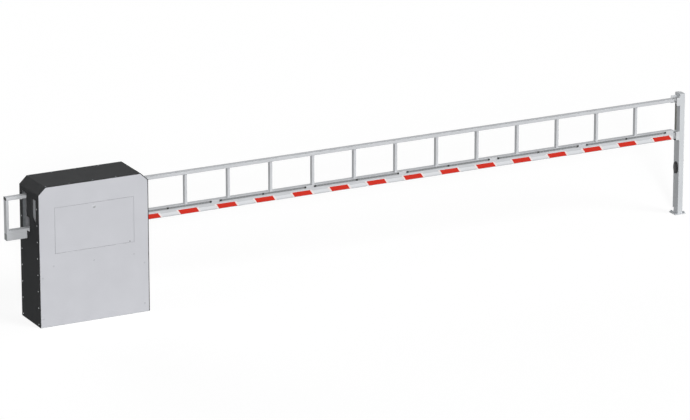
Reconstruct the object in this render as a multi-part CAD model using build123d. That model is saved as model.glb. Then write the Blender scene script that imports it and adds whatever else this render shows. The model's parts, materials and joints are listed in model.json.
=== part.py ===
from build123d import *
import os

# A sliding boom barrier: a drive cabinet, a boom frame that runs lengthwise through it,
# and a catch post that receives the free end of the boom.
# Millimetres, +Z up, +X from the cabinet towards the post, -Y towards the viewer's side.
# The origin is on the ground, in the middle of the cabinet's four anchor bolts.

# Clearances
fit_gap = 0.3
bore_gap = 0.15
running_gap = 6.0

# Cabinet
cabinet_width = 1120.0
cabinet_depth = 430.0
cabinet_height = 1365.0
chamfer_width = 76.0
chamfer_height = 72.0
shell_sheet = 3.0
shell_lip = 7.0
panel_sheet = 3.0
panel_return = 40.0
return_sheet = 1.5
return_inset = 25.0
roof_screw_count = 5
roof_screw_pitch = 238.0
roof_screw_inset = 15.0
roof_screw_hole_radius = 6.0
ground_gap = 4.0

# Boom
boom_setback = 330.0
boom_depth = 60.0
boom_top_drop = 149.0
boom_height = 420.0
rail_height = 30.0
beam_height = 66.0
rail_wall = 3.0
rail_round = 3.0
tail_overhang = 192.0
boom_length = 7233.0
upright_width = 25.0
upright_depth = 40.0
upright_wall = 2.0
upright_pitch = 450.0
upright_clearance = 150.0
last_upright_inset = 437.0
tail_inner_upright_inset = 304.5
cap_thickness = 3.0
cap_inset = 1.0

# Light strips along the lower rail
strip_height = 20.0
strip_thickness = 6.0
strip_length = 920.0
strip_pitch = 1006.0
strip_reach_in = 130.0
last_strip_inset = 96.0
clip_width = 20.0
clip_thickness = 8.0

# Reflective plates on the beam
plate_pitch = 402.0
plate_length = 192.0
plate_height = 46.0
plate_slant = 30.0
plate_border = 20.0
plate_thickness = 1.5
plate_face_thickness = 0.8
plate_edge_inset = 2.0
last_plate_inset = 220.0
first_plate_clearance = 60.0

# Openings in the cabinet's sides
slot_front_clearance = 35.0
slot_back_clearance = 15.0
slot_top_clearance = 34.0
slot_bottom_clearance = 12.0
step_width = 65.0
step_low_offset = 12.0
step_height = 146.0
window_front = 55.0
window_width = 85.0
window_height = 218.0
window_top_drop = 133.0
window_corner_width = 60.0
window_corner_height = 48.0

# Access flap in the front panel
flap_width = 800.0
flap_height = 438.0
flap_top_drop = 216.0
flap_shift = 7.0
flap_gap = 5.0
flap_rib = 20.0
stop_sheet = 2.0
stop_width = 12.0
hinge_pin_radius = 1.2
hinge_knuckle_radius = 2.4
hinge_knuckle_gap = 1.0
hinge_length = 80.0
hinge_spread = 500.0
hinge_leaf = 1.0
hinge_leaf_width = 18.0
lock_radius = 11.0
lock_top_inset = 41.0
lock_stand = 3.0
lock_body_radius = 9.0
lock_body_length = 22.0
key_slot_width = 2.0
key_slot_length = 10.0
key_slot_depth = 1.5
cam_length = 44.0
cam_width = 18.0
cam_thickness = 3.0

# Chassis
anchor_spread_x = 990.0
anchor_spread_y = 340.0
anchor_hole_radius = 9.0
foot_width = 60.0
foot_thickness = 6.0
foot_height = 50.0
angle_leg = 40.0
angle_wall = 4.0
ring_leg = 30.0
mid_ring_drop = 146.0
top_ring_drop = 77.0
bridge_thickness = 8.0
bridge_width = 180.0
bridge_centre = 430.0

# Rollers
support_offset = 35.0
guide_offset = -40.0
lower_roller_radius = 40.0
upper_roller_radius = 30.0
flange_width = 8.0
flange_height = 12.0
guide_radius = 18.0
guide_length = 26.0
axle_radius = 6.0
cheek_thickness = 6.0
cheek_width = 60.0
cheek_margin = 18.0
side_play = 1.0

# Drive
drive_wheel_radius = 60.0
drive_wheel_width = 50.0
drive_wheel_chamfer = 2.0
drive_shaft_radius = 12.0
gearbox_width = 150.0
gearbox_depth = 110.0
gearbox_height = 140.0
gearbox_round = 10.0
motor_radius = 68.0
motor_length = 250.0
motor_round = 8.0
drive_plate_width = 420.0
pillow_thickness = 16.0
pillow_width = 90.0
pillow_rise = 22.0

# Control box
control_width = 420.0
control_depth = 110.0
control_height = 300.0
control_rise = 79.0
control_shift = -120.0
control_plate = 4.0
control_margin = 20.0
control_round = 6.0

# Catch post
post_width = 55.0
post_depth = 80.0
post_wall = 3.0
post_rise = 44.0
post_gap = 66.0
post_cap_thickness = 4.0
post_plate_size = 120.0
post_plate_thickness = 10.0
post_bolt_spacing = 90.0
post_bolt_radius = 6.0
back_strip_depth = 18.0
back_strip_width = 40.0
back_strip_bottom = 56.0
side_strip_width = 20.0
side_strip_inset = 17.0
side_strip_thickness = 8.0
side_strip_gap = 2.0
cover_width = 76.0
cover_height = 124.0
cover_thickness = 14.0
cover_chamfer = 3.0
cover_centre_height = 484.0

# Catches on the post
catch_sheet = 6.0
front_cheek_reach = 39.0
back_cheek_reach = 67.0
upper_front_rise = 8.0
upper_front_drop = 46.0
upper_back_rise = 20.0
upper_back_drop = 28.0
lower_front_drop = 11.0
lower_back_drop = 20.0
lower_catch_height = 74.0
buffer_width = 36.0
buffer_inset = 1.0
rest_pad_thickness = 7.0
rest_pad_reach = 8.0

# Derived places
half_width = cabinet_width / 2
half_depth = cabinet_depth / 2
front_y = -half_depth
back_y = half_depth
boom_y = front_y + boom_setback
boom_front = boom_y - boom_depth / 2
boom_back = boom_y + boom_depth / 2
boom_top = cabinet_height - boom_top_drop
boom_bottom = boom_top - boom_height
beam_top = boom_bottom + beam_height
lower_rail_top = beam_top + rail_height
top_rail_bottom = boom_top - rail_height
boom_left = -half_width - tail_overhang
boom_right = boom_left + boom_length
strip_front = boom_front - strip_thickness
shoulder = cabinet_height - chamfer_height
inner_x = half_width - shell_sheet - fit_gap
inner_y = half_depth - panel_sheet - fit_gap
panel_x = half_width - shell_lip - fit_gap
frame_x = inner_x - foot_thickness
frame_y = inner_y - foot_thickness
ring_x = frame_x - angle_wall
ring_y = frame_y - angle_wall
mid_ring_top = boom_bottom - mid_ring_drop
top_ring_top = cabinet_height - top_ring_drop
bridge_low_top = mid_ring_top + bridge_thickness
panel_back = front_y + panel_sheet
flap_left = -flap_width / 2 + flap_shift
flap_right = flap_left + flap_width
flap_x = (flap_left + flap_right) / 2
flap_top = cabinet_height - flap_top_drop
flap_bottom = flap_top - flap_height
rib_inset = stop_width + running_gap
lock_z = flap_top - lock_top_inset
hinge_y = front_y + panel_sheet / 2
hinge_z = flap_bottom - flap_gap / 2
post_left = boom_right + post_gap
post_right = post_left + post_width
post_x = (post_left + post_right) / 2
post_back = boom_front + post_depth
strip_back = post_back + back_strip_depth
post_y = (boom_front + strip_back) / 2
post_height = boom_top + post_rise

os.makedirs("parts", exist_ok=True)


def block(x0, x1, y0, y1, z0, z1):
    """A box between two corners."""
    size = (x1 - x0, y1 - y0, z1 - z0)
    centre = ((x0 + x1) / 2, (y0 + y1) / 2, (z0 + z1) / 2)
    return Pos(*centre) * Box(*size)


def rod_x(x0, x1, y, z, radius):
    """A round bar along X."""
    return Pos((x0 + x1) / 2, y, z) * Rot(0, 90, 0) * Cylinder(radius, x1 - x0)


def rod_y(x, y0, y1, z, radius):
    """A round bar along Y."""
    return Pos(x, (y0 + y1) / 2, z) * Rot(90, 0, 0) * Cylinder(radius, y1 - y0)


def rod_z(x, y, z0, z1, radius):
    """A round bar along Z."""
    return Pos(x, y, (z0 + z1) / 2) * Cylinder(radius, z1 - z0)


def prism_y(points, y0, y1):
    """An outline in X and Z, given its depth along Y."""
    face = make_face(Polyline(*[(x, y0, z) for x, z in points], close=True))
    return extrude(face, amount=y1 - y0, dir=(0, 1, 0))


def prism_x(points, x0, x1):
    """An outline in Y and Z, given its length along X."""
    face = make_face(Polyline(*[(x0, y, z) for y, z in points], close=True))
    return extrude(face, amount=x1 - x0, dir=(1, 0, 0))


def tube_x(x0, x1, y0, y1, z0, z1, wall, rounding):
    """A rectangular tube along X with rounded long edges."""
    outer = fillet(block(x0, x1, y0, y1, z0, z1).edges().filter_by(Axis.X), rounding)
    inner = block(x0, x1, y0 + wall, y1 - wall, z0 + wall, z1 - wall)
    return outer - inner


def tube_z(x0, x1, y0, y1, z0, z1, wall):
    """A rectangular tube along Z with slightly rounded long edges."""
    outer = fillet(block(x0, x1, y0, y1, z0, z1).edges().filter_by(Axis.Z), wall / 2)
    inner = block(x0 + wall, x1 - wall, y0 + wall, y1 - wall, z0, z1)
    return outer - inner


def places_from_end(last, limit, pitch):
    """Even places along X, counted back from the last one as far as the limit allows."""
    count = int((last - limit) // pitch) + 1
    return [last - pitch * n for n in reversed(range(count))]


def save(shape, name):
    """Writes one sub-part; a list becomes one node of separate solids."""
    if isinstance(shape, list):
        shape = Compound(children=shape)
    export_step(shape, f"parts/{name}.step")


# Cabinet shell


def shell_outline(inset):
    """The cabinet's front silhouette, moved inwards by one even distance."""
    slope = (chamfer_width**2 + chamfer_height**2) ** 0.5
    shift_up = inset * (slope - chamfer_width) / chamfer_height
    shift_in = inset * (slope - chamfer_height) / chamfer_width
    side = half_width - inset
    top = cabinet_height - inset
    low = shoulder - shift_up
    inner_top = half_width - chamfer_width - shift_in
    half = [(side, ground_gap), (side, low), (inner_top, top)]
    return half + [(-x, z) for x, z in reversed(half)]


def shell_ring():
    """The bent shell, open below, with a narrow lip round its open front and back."""
    outside = prism_y(shell_outline(0), front_y, back_y)
    inside = prism_y(shell_outline(shell_sheet), front_y + shell_sheet, back_y - shell_sheet)
    opening = prism_y(shell_outline(shell_lip), front_y, back_y)
    return outside - inside - opening


def boom_slot(x0, x1):
    """The stepped slot that the boom frame runs through."""
    front = boom_front - slot_front_clearance
    back = boom_back + slot_back_clearance
    low = boom_bottom - slot_bottom_clearance
    slot = block(x0, x1, front, back, low, boom_top + slot_top_clearance)
    step_low = lower_rail_top - step_low_offset
    return slot + block(x0, x1, front - step_width, front, step_low, step_low + step_height)


def window(x0, x1):
    """The tall opening beside the slot, with one lower corner cut off."""
    y0 = front_y + window_front
    y1 = y0 + window_width
    z1 = cabinet_height - window_top_drop
    z0 = z1 - window_height
    corner = [(y1, z0 + window_corner_height), (y1 - window_corner_width, z0)]
    return prism_x([(y0, z1), (y1, z1)] + corner + [(y0, z0)], x0, x1)


def side_panel(side):
    """One side wall; both have the slot, and the left one has the window."""
    x0, x1 = sorted((side * (half_width - shell_lip), side * half_width))
    wall = shell_ring() & block(x0, x1, front_y, back_y, ground_gap, shoulder)
    wall -= boom_slot(x0, x1)
    if side < 0:
        wall -= window(x0, x1)
    return wall


def top_cover():
    """Roof and both chamfers, bent from one sheet, with a row of screw holes at the front and at the back."""
    cover = shell_ring() & block(-half_width, half_width, front_y, back_y, shoulder, cabinet_height)
    low = cabinet_height - shell_sheet
    for n in range(roof_screw_count):
        x = (n - (roof_screw_count - 1) / 2) * roof_screw_pitch
        for y in (front_y + roof_screw_inset, back_y - roof_screw_inset):
            cover -= rod_z(x, y, low, cabinet_height, roof_screw_hole_radius)
    return cover


def closing_panel(side):
    """A flat cover inside one lip of the shell, with return edges along its sides and top."""
    y_in = side * (half_depth - panel_sheet)
    y0, y1 = sorted((side * half_depth, y_in))
    panel = prism_y(shell_outline(shell_lip + fit_gap), y0, y1)
    r0, r1 = sorted((y_in, y_in - side * panel_return))
    for way in (-1, 1):
        x0, x1 = sorted((way * panel_x, way * (panel_x - return_sheet)))
        panel += block(x0, x1, r0, r1, foot_height + return_inset, shoulder - return_inset)
    top = cabinet_height - shell_lip - fit_gap
    reach = half_width - chamfer_width - return_inset
    return panel + block(-reach, reach, r0, r1, top - return_sheet, top)


def front_panel():
    """The front cover: the opening for the access flap, and a stop behind three of its edges."""
    x0 = flap_left - flap_gap
    x1 = flap_right + flap_gap
    z1 = flap_top + flap_gap
    stop_front = panel_back + flap_gap
    stop_back = stop_front + stop_sheet
    opening = block(x0, x1, front_y, panel_back, flap_bottom - flap_gap, z1)
    stop = block(x0 - stop_sheet, x1 + stop_sheet, panel_back, stop_back, flap_bottom, z1 + stop_sheet)
    stop -= block(x0, x1, panel_back, stop_front, flap_bottom, z1)
    inner_left = flap_left + stop_width
    inner_right = flap_right - stop_width
    stop -= block(inner_left, inner_right, stop_front, stop_back, flap_bottom, flap_top - stop_width)
    return closing_panel(-1) - opening + stop


def flap_panel():
    """The access flap, stiffened by folded ribs near its sides and top."""
    flap = block(flap_left, flap_right, front_y, panel_back, flap_bottom, flap_top)
    rib_left = flap_left + rib_inset
    rib_right = flap_right - rib_inset
    rib_back = panel_back + flap_rib
    rib_low = flap_bottom + hinge_leaf_width + flap_rib
    rib_top = flap_top - rib_inset
    for x0 in (rib_left, rib_right - return_sheet):
        flap += block(x0, x0 + return_sheet, panel_back, rib_back, rib_low, rib_top)
    flap += block(rib_left, rib_right, panel_back, rib_back, rib_top - return_sheet, rib_top)
    return flap - rod_y(flap_x, front_y, panel_back, lock_z, lock_body_radius + fit_gap)


save(side_panel(-1), "left_side_panel")
save(side_panel(1), "right_side_panel")
save(top_cover(), "top_cover")
save(front_panel(), "front_panel")
save(closing_panel(1), "back_panel")
save(flap_panel(), "flap_panel")


# Flap lock and hinges


def flap_lock():
    """Lock head, cylinder and the cam behind it, turned to its open side."""
    head_front = front_y - lock_stand
    head = rod_y(flap_x, head_front, front_y, lock_z, lock_radius)
    cam_front = panel_back + lock_body_length
    body = rod_y(flap_x, head_front, cam_front, lock_z, lock_body_radius)
    slot_back = head_front + key_slot_depth
    slot = Box(key_slot_width, key_slot_depth, key_slot_length)
    slot = Pos(flap_x, (head_front + slot_back) / 2, lock_z) * slot
    cam = Box(cam_length, cam_thickness, cam_width)
    cam = Pos(flap_x + (cam_length - cam_width) / 2, cam_front + cam_thickness / 2, lock_z) * cam
    return head + body + cam - slot


def hinge_places():
    """The middles of the flap's hinges along X."""
    return [flap_x - hinge_spread / 2, flap_x + hinge_spread / 2]


def hinge_half(on_flap, x):
    """One hinge half: a screwed leaf and its share of the knuckles round the pin."""
    third = hinge_length / 3
    reach = hinge_length / 2
    if on_flap:
        z0, z1 = hinge_z, hinge_z + hinge_leaf_width
        spans = [(x - third / 2 + hinge_knuckle_gap, x + third / 2 - hinge_knuckle_gap)]
    else:
        z0, z1 = hinge_z - hinge_leaf_width, hinge_z
        spans = [(x - reach, x - reach + third), (x + reach - third, x + reach)]
    pieces = []
    for x0, x1 in spans:
        knuckle = rod_x(x0, x1, hinge_y, hinge_z, hinge_knuckle_radius)
        leaf = block(x0, x1, panel_back, panel_back + hinge_leaf, z0, z1)
        pieces.append(knuckle + leaf - rod_x(x0, x1, hinge_y, hinge_z, hinge_pin_radius))
    return pieces


def hinge_pin(x):
    """The pin through one hinge's knuckles."""
    reach = hinge_length / 2
    return rod_x(x - reach, x + reach, hinge_y, hinge_z, hinge_pin_radius - bore_gap)


save(flap_lock(), "flap_lock")
save([half for x in hinge_places() for half in hinge_half(True, x)], "flap_hinge_leaves")
cabinet_halves = [half for x in hinge_places() for half in hinge_half(False, x)]
save(cabinet_halves + [hinge_pin(x) for x in hinge_places()], "cabinet_hinges")


# Chassis inside the cabinet


def angle_ring(x, y, z0, z1, leg, wall, flat_below):
    """A level frame of angle section, with its flat leg at the bottom or at the top."""
    upright_leg = block(-x, x, -y, y, z0, z1) - block(wall - x, x - wall, wall - y, y - wall, z0, z1)
    a, b = (z0, z0 + wall) if flat_below else (z1 - wall, z1)
    flat_leg = block(-x, x, -y, y, a, b) - block(leg - x, x - leg, leg - y, y - leg, a, b)
    return upright_leg + flat_leg


ways = [(-1, -1), (-1, 1), (1, -1), (1, 1)]


def base_frame():
    """Foot frame with the four anchor holes."""
    frame = angle_ring(inner_x, inner_y, 0, foot_height, foot_width, foot_thickness, True)
    reach_x = anchor_spread_x / 2
    reach_y = anchor_spread_y / 2
    for a, b in ways:
        frame -= rod_z(a * reach_x, b * reach_y, 0, foot_thickness, anchor_hole_radius)
    return frame


def corner_upright(way_x, way_y):
    """One corner post of angle section, standing on the foot frame."""
    x_out = way_x * frame_x
    y_out = way_y * frame_y
    x_leg = sorted((x_out, x_out - way_x * angle_leg))
    y_leg = sorted((y_out, y_out - way_y * angle_leg))
    x_wall = sorted((x_out, x_out - way_x * angle_wall))
    y_wall = sorted((y_out, y_out - way_y * angle_wall))
    leg = block(*x_leg, *y_wall, foot_thickness, top_ring_top)
    return leg + block(*x_wall, *y_leg, foot_thickness, top_ring_top)


def level_ring(top):
    """A level ring inside the corner posts, with its flat leg on top."""
    return angle_ring(ring_x, ring_y, top - ring_leg, top, ring_leg, angle_wall, False)


save(base_frame(), "base_frame")
save([corner_upright(a, b) for a, b in ways], "corner_uprights")
save([level_ring(mid_ring_top), level_ring(top_ring_top)], "level_rings")


# Roller bridges and rollers

lower_axle_z = boom_bottom - fit_gap - lower_roller_radius
upper_axle_z = boom_top + fit_gap + upper_roller_radius
tread_half = boom_depth / 2 + running_gap + plate_thickness
lower_cheek_inner = tread_half + flange_width + side_play
upper_cheek_inner = boom_depth / 2 + side_play
guide_y = boom_depth / 2 + fit_gap + guide_radius


def cheek_pair(x, z0, z1, inner, axle_z):
    """Two upright plates that carry one roller's axle."""
    cheeks = []
    for way in (-1, 1):
        y0, y1 = sorted((boom_y + way * inner, boom_y + way * (inner + cheek_thickness)))
        cheek = block(x - cheek_width / 2, x + cheek_width / 2, y0, y1, z0, z1)
        cheeks.append(cheek - rod_y(x, y0, y1, axle_z, axle_radius + bore_gap))
    return cheeks[0] + cheeks[1]


def support_x(side):
    """Where the carrying rollers stand along X, near each end of the cabinet."""
    return side * (bridge_centre + support_offset)


def guide_x(side):
    """Where the guide rollers stand along X."""
    return side * (bridge_centre + guide_offset)


def bridge_plate(side, z):
    """A flat plate across a level ring."""
    x = side * bridge_centre
    return block(x - bridge_width / 2, x + bridge_width / 2, -ring_y, ring_y, z, z + bridge_thickness)


def lower_bridge(side):
    """The plate on the middle ring with the cheeks of one lower roller."""
    top = lower_axle_z + cheek_margin
    cheeks = cheek_pair(support_x(side), bridge_low_top, top, lower_cheek_inner, lower_axle_z)
    return bridge_plate(side, mid_ring_top) + cheeks


def upper_bridge(side):
    """The plate on the top ring with the cheeks of one upper roller and the guide axles."""
    low = upper_axle_z - cheek_margin
    bridge = bridge_plate(side, top_ring_top)
    bridge += cheek_pair(support_x(side), low, top_ring_top, upper_cheek_inner, upper_axle_z)
    for way in (-1, 1):
        bridge += rod_z(guide_x(side), boom_y + way * guide_y, top_rail_bottom, top_ring_top, axle_radius)
    return bridge


def lower_roller(side):
    """A flanged roller under the beam."""
    x = support_x(side)
    y0 = boom_y - tread_half
    y1 = boom_y + tread_half
    roller = rod_y(x, y0, y1, lower_axle_z, lower_roller_radius)
    for a, b in ((y0 - flange_width, y0), (y1, y1 + flange_width)):
        roller += rod_y(x, a, b, lower_axle_z, lower_roller_radius + flange_height)
    return roller - rod_y(x, y0 - flange_width, y1 + flange_width, lower_axle_z, axle_radius + bore_gap)


def upper_roller(side):
    """A plain roller above the top rail."""
    x = support_x(side)
    roller = rod_y(x, boom_front, boom_back, upper_axle_z, upper_roller_radius)
    return roller - rod_y(x, boom_front, boom_back, upper_axle_z, axle_radius + bore_gap)


def guide_roller(side, way):
    """A roller on an upright axle, beside the top rail."""
    y = boom_y + way * guide_y
    z0 = top_rail_bottom + (rail_height - guide_length) / 2
    roller = rod_z(guide_x(side), y, z0, z0 + guide_length, guide_radius)
    return roller - rod_z(guide_x(side), y, z0, z0 + guide_length, axle_radius + bore_gap)


def axle(side, inner, z):
    """The axle through one roller and its two cheeks."""
    reach = inner + cheek_thickness
    return rod_y(support_x(side), boom_y - reach, boom_y + reach, z, axle_radius)


sides = [-1, 1]
save([lower_bridge(s) for s in sides], "lower_bridges")
save([upper_bridge(s) for s in sides], "upper_bridges")
save([lower_roller(s) for s in sides], "lower_rollers")
save([upper_roller(s) for s in sides], "upper_rollers")
save([guide_roller(s, w) for s in sides for w in (-1, 1)], "guide_rollers")
lower_axles = [axle(s, lower_cheek_inner, lower_axle_z) for s in sides]
upper_axles = [axle(s, upper_cheek_inner, upper_axle_z) for s in sides]
save(lower_axles + upper_axles, "roller_axles")


# Drive and control

wheel_z = boom_bottom - fit_gap - drive_wheel_radius
wheel_front = boom_y - drive_wheel_width / 2
wheel_back = boom_y + drive_wheel_width / 2
gearbox_back = wheel_front - running_gap
gearbox_front = gearbox_back - gearbox_depth
pillow_front = wheel_back + running_gap
pillow_back = pillow_front + pillow_thickness
control_front = panel_back + flap_rib + running_gap
control_back = control_front + control_depth
control_left = control_shift - control_width / 2
control_right = control_shift + control_width / 2
control_bottom = flap_bottom + control_rise


def drive_plate():
    """The plate across the middle ring that carries the drive."""
    half = drive_plate_width / 2
    return block(-half, half, -ring_y, ring_y, mid_ring_top, bridge_low_top)


def drive_wheel():
    """The friction wheel that moves the boom from below."""
    wheel = rod_y(0, wheel_front, wheel_back, wheel_z, drive_wheel_radius)
    wheel = chamfer(wheel.edges().filter_by(GeomType.CIRCLE), drive_wheel_chamfer)
    return wheel - rod_y(0, wheel_front, wheel_back, wheel_z, drive_shaft_radius + bore_gap)


def gearbox():
    """Gear case with its output shaft through the wheel and the bearing."""
    half = gearbox_width / 2
    top = bridge_low_top + gearbox_height
    case = block(-half, half, gearbox_front, gearbox_back, bridge_low_top, top)
    case = fillet(case.edges().filter_by(Axis.Y), gearbox_round)
    return case + rod_y(0, gearbox_back, pillow_back, wheel_z, drive_shaft_radius)


def shaft_bearing():
    """The plate with the bearing at the far end of the drive shaft."""
    half = pillow_width / 2
    plate = block(-half, half, pillow_front, pillow_back, bridge_low_top, wheel_z + pillow_rise)
    return plate - rod_y(0, pillow_front, pillow_back, wheel_z, drive_shaft_radius + bore_gap)


def drive_motor():
    """The motor flanged to the gear case, lying along the cabinet."""
    y = (gearbox_front + gearbox_back) / 2
    x1 = -gearbox_width / 2
    motor = rod_x(x1 - motor_length, x1, y, bridge_low_top + motor_radius + fit_gap, motor_radius)
    return fillet(motor.edges().filter_by(GeomType.CIRCLE), motor_round)


def control_unit():
    """The closed control box behind the access flap."""
    top = control_bottom + control_height
    box = block(control_left, control_right, control_front, control_back, control_bottom, top)
    return fillet(box.edges().filter_by(Axis.Z), control_round)


def control_bracket():
    """The plate that carries the control box, hung under the top ring."""
    back = control_back + control_plate
    low = control_bottom - control_margin
    top = top_ring_top - ring_leg
    plate = block(control_left, control_right, control_back, back, low, top)
    return plate + block(control_left, control_right, -ring_y, back, top - control_plate, top)


save(drive_plate(), "drive_plate")
save(drive_wheel(), "drive_wheel")
save(gearbox(), "gearbox")
save(shaft_bearing(), "shaft_bearing")
save(drive_motor(), "drive_motor")
save(control_unit(), "control_unit")
save(control_bracket(), "control_bracket")


# Boom

tail_upright_right = boom_left + upright_width
tail_inner_x = boom_left + tail_inner_upright_inset
tube_left = boom_left + cap_thickness
tube_right = boom_right - cap_thickness
strip_low = lower_rail_top - strip_height
strip_top = lower_rail_top - rail_round


def boom_tube(x0, x1, z0, z1):
    """One of the boom's long tubes."""
    return tube_x(x0, x1, boom_front, boom_back, z0, z1, rail_wall, rail_round)


def upright_places():
    """The middles of the evenly spaced uprights along X, from the tail to the free end."""
    last = boom_right - last_upright_inset
    return places_from_end(last, tail_inner_x + upright_clearance, upright_pitch)


def upright(x):
    """One upright between the rails."""
    x0 = x - upright_width / 2
    y0 = boom_y - upright_depth / 2
    x1 = x0 + upright_width
    return tube_z(x0, x1, y0, y0 + upright_depth, lower_rail_top, top_rail_bottom, upright_wall)


def tail_upright():
    """The upright that closes the frame at its tail, between top rail and beam."""
    return tube_z(boom_left, tail_upright_right, boom_front, boom_back, beam_top, top_rail_bottom, rail_wall)


def end_cap(x0, z0, z1):
    """The cap on one end of one tube."""
    y0 = boom_front + cap_inset
    y1 = boom_back - cap_inset
    return block(x0, x0 + cap_thickness, y0, y1, z0 + cap_inset, z1 - cap_inset)


def clip_places(x0):
    """The middles of one light strip's three clips."""
    half = clip_width / 2
    return [x0 + half, x0 + strip_length / 2, x0 + strip_length - half]


def strip_clip(x):
    """One clip across the light strip."""
    half = clip_width / 2
    front = boom_front - clip_thickness
    return block(x - half, x + half, front, boom_front, strip_low, strip_top)


def light_strip(x0):
    """One length of light strip on the lower rail's face, cleared at its clips."""
    strip = block(x0, x0 + strip_length, strip_front, boom_front, strip_low, strip_top)
    for x in clip_places(x0):
        strip -= strip_clip(x)
    return strip


def slanted_plate(x0, length, front, thickness):
    """A slanted plate on the beam's face; its top edge lies further left."""
    low = boom_bottom + rail_round + plate_edge_inset
    top = low + plate_height
    lean = x0 - plate_slant
    points = [(x0, low), (x0 + length, low), (lean + length, top), (lean, top)]
    return prism_y(points, front, front + thickness)


backing_front = boom_front - plate_thickness


def plate_backing(x0):
    """The white backing of one reflective plate."""
    length = plate_length + 2 * plate_border
    return slanted_plate(x0 - plate_border, length, backing_front, plate_thickness)


def plate_face(x0):
    """The red reflective face on its backing."""
    return slanted_plate(x0, plate_length, backing_front - plate_face_thickness, plate_face_thickness)


top_edges = (top_rail_bottom, boom_top)
beam_edges = (boom_bottom, beam_top)
rail_caps = [end_cap(boom_left, *top_edges), end_cap(tube_right, *top_edges)]
rail_caps.append(end_cap(tube_right, beam_top, lower_rail_top))
last_strip = boom_right - last_strip_inset - strip_length
strip_starts = places_from_end(last_strip, half_width - strip_reach_in, strip_pitch)
last_plate = boom_right - last_plate_inset
plate_starts = places_from_end(last_plate, half_width + first_plate_clearance, plate_pitch)

save(boom_tube(tube_left, tube_right, *top_edges), "top_rail")
save(boom_tube(tail_upright_right, tube_right, beam_top, lower_rail_top), "lower_rail")
save(boom_tube(tube_left, tube_right, *beam_edges), "lower_beam")
save([upright(x) for x in [tail_inner_x] + upright_places()], "boom_uprights")
save(tail_upright(), "tail_upright")
save(rail_caps, "rail_end_caps")
save([end_cap(boom_left, *beam_edges), end_cap(tube_right, *beam_edges)], "beam_end_caps")
save([light_strip(x) for x in strip_starts], "light_strips")
save([strip_clip(x) for start in strip_starts for x in clip_places(start)], "strip_clips")
save([plate_backing(x) for x in plate_starts], "reflector_backings")
save([plate_face(x) for x in plate_starts], "reflector_faces")


# Catch post

front_cheek_left = post_left - front_cheek_reach
back_cheek_left = post_left - back_cheek_reach
back_cheek_front = boom_back + running_gap
back_cheek_back = back_cheek_front + catch_sheet
web_left = post_left - catch_sheet
upper_catch_bottom = top_rail_bottom - upper_front_drop


def post_tube():
    """The upright tube of the catch post."""
    top = post_height - post_cap_thickness
    return tube_z(post_left, post_right, boom_front, post_back, post_plate_thickness, top, post_wall)


def post_base_plate():
    """The foot plate with its four anchor holes."""
    size = post_plate_size
    reach = post_bolt_spacing / 2
    plate = Pos(post_x, post_y, post_plate_thickness / 2) * Box(size, size, post_plate_thickness)
    for a, b in ways:
        hole_x = post_x + a * reach
        plate -= rod_z(hole_x, post_y + b * reach, 0, post_plate_thickness, post_bolt_radius)
    return plate


def post_cap():
    """The lid on top of the post."""
    low = post_height - post_cap_thickness
    return block(post_left, post_right, boom_front, post_back, low, post_height)


def back_strip():
    """The profile fixed along the back of the post."""
    x1 = post_left + back_strip_width
    return block(post_left, x1, post_back, strip_back, back_strip_bottom, post_height)


def side_strip():
    """The dark strip on the post's inner face, between the two catches."""
    x0 = post_left - side_strip_thickness
    y1 = strip_back - side_strip_inset
    low = boom_bottom + lower_catch_height + side_strip_gap
    top = upper_catch_bottom - side_strip_gap
    return block(x0, post_left, y1 - side_strip_width, y1, low, top)


def catch(front_low, front_top, back_low, back_top):
    """A pocket open above and below: a web on the post, a short front and a long back cheek."""
    low = min(front_low, back_low)
    top = max(front_top, back_top)
    web = block(web_left, post_left, boom_front, back_cheek_back, low, top)
    y1 = boom_front + catch_sheet
    front = block(front_cheek_left, web_left, boom_front, y1, front_low, front_top)
    back = block(back_cheek_left, web_left, back_cheek_front, back_cheek_back, back_low, back_top)
    return web + front + back


def upper_catch():
    """The catch for the top rail."""
    front = (upper_catch_bottom, boom_top + upper_front_rise)
    return catch(*front, top_rail_bottom - upper_back_drop, boom_top + upper_back_rise)


def lower_catch():
    """The catch for the beam."""
    top = boom_bottom + lower_catch_height
    return catch(boom_bottom - lower_front_drop, top, boom_bottom - lower_back_drop, top)


def catch_buffer(z0, z1):
    """The rubber block on the web, which the end of one tube stops against."""
    left = boom_right + running_gap
    half = buffer_width / 2
    return block(left, web_left, boom_y - half, boom_y + half, z0 + buffer_inset, z1 - buffer_inset)


def rest_pad():
    """The pad on the web, which reaches out of the lower pocket just below the beam."""
    left = front_cheek_left - rest_pad_reach
    top = boom_bottom - running_gap
    half = buffer_width / 2
    return block(left, web_left, boom_y - half, boom_y + half, top - rest_pad_thickness, top)


def oval_cover():
    """The oval black cover on the post's inner face."""
    plane = Plane(origin=(post_left, post_y, cover_centre_height), x_dir=(0, 1, 0), z_dir=(-1, 0, 0))
    cover = extrude(plane * Ellipse(cover_width / 2, cover_height / 2), amount=cover_thickness)
    return chamfer(cover.faces().sort_by(Axis.X)[0].edges(), cover_chamfer)


save(post_tube(), "post_tube")
save(post_base_plate(), "post_base_plate")
save(post_cap(), "post_cap")
save(back_strip(), "post_back_strip")
save(side_strip(), "post_side_strip")
save(upper_catch(), "upper_catch")
save(lower_catch(), "lower_catch")
save([catch_buffer(*top_edges), catch_buffer(*beam_edges), rest_pad()], "catch_pads")
save(oval_cover(), "oval_cover")
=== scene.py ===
import json
import math

import bmesh
import bpy
from mathutils import Matrix, Vector


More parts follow.
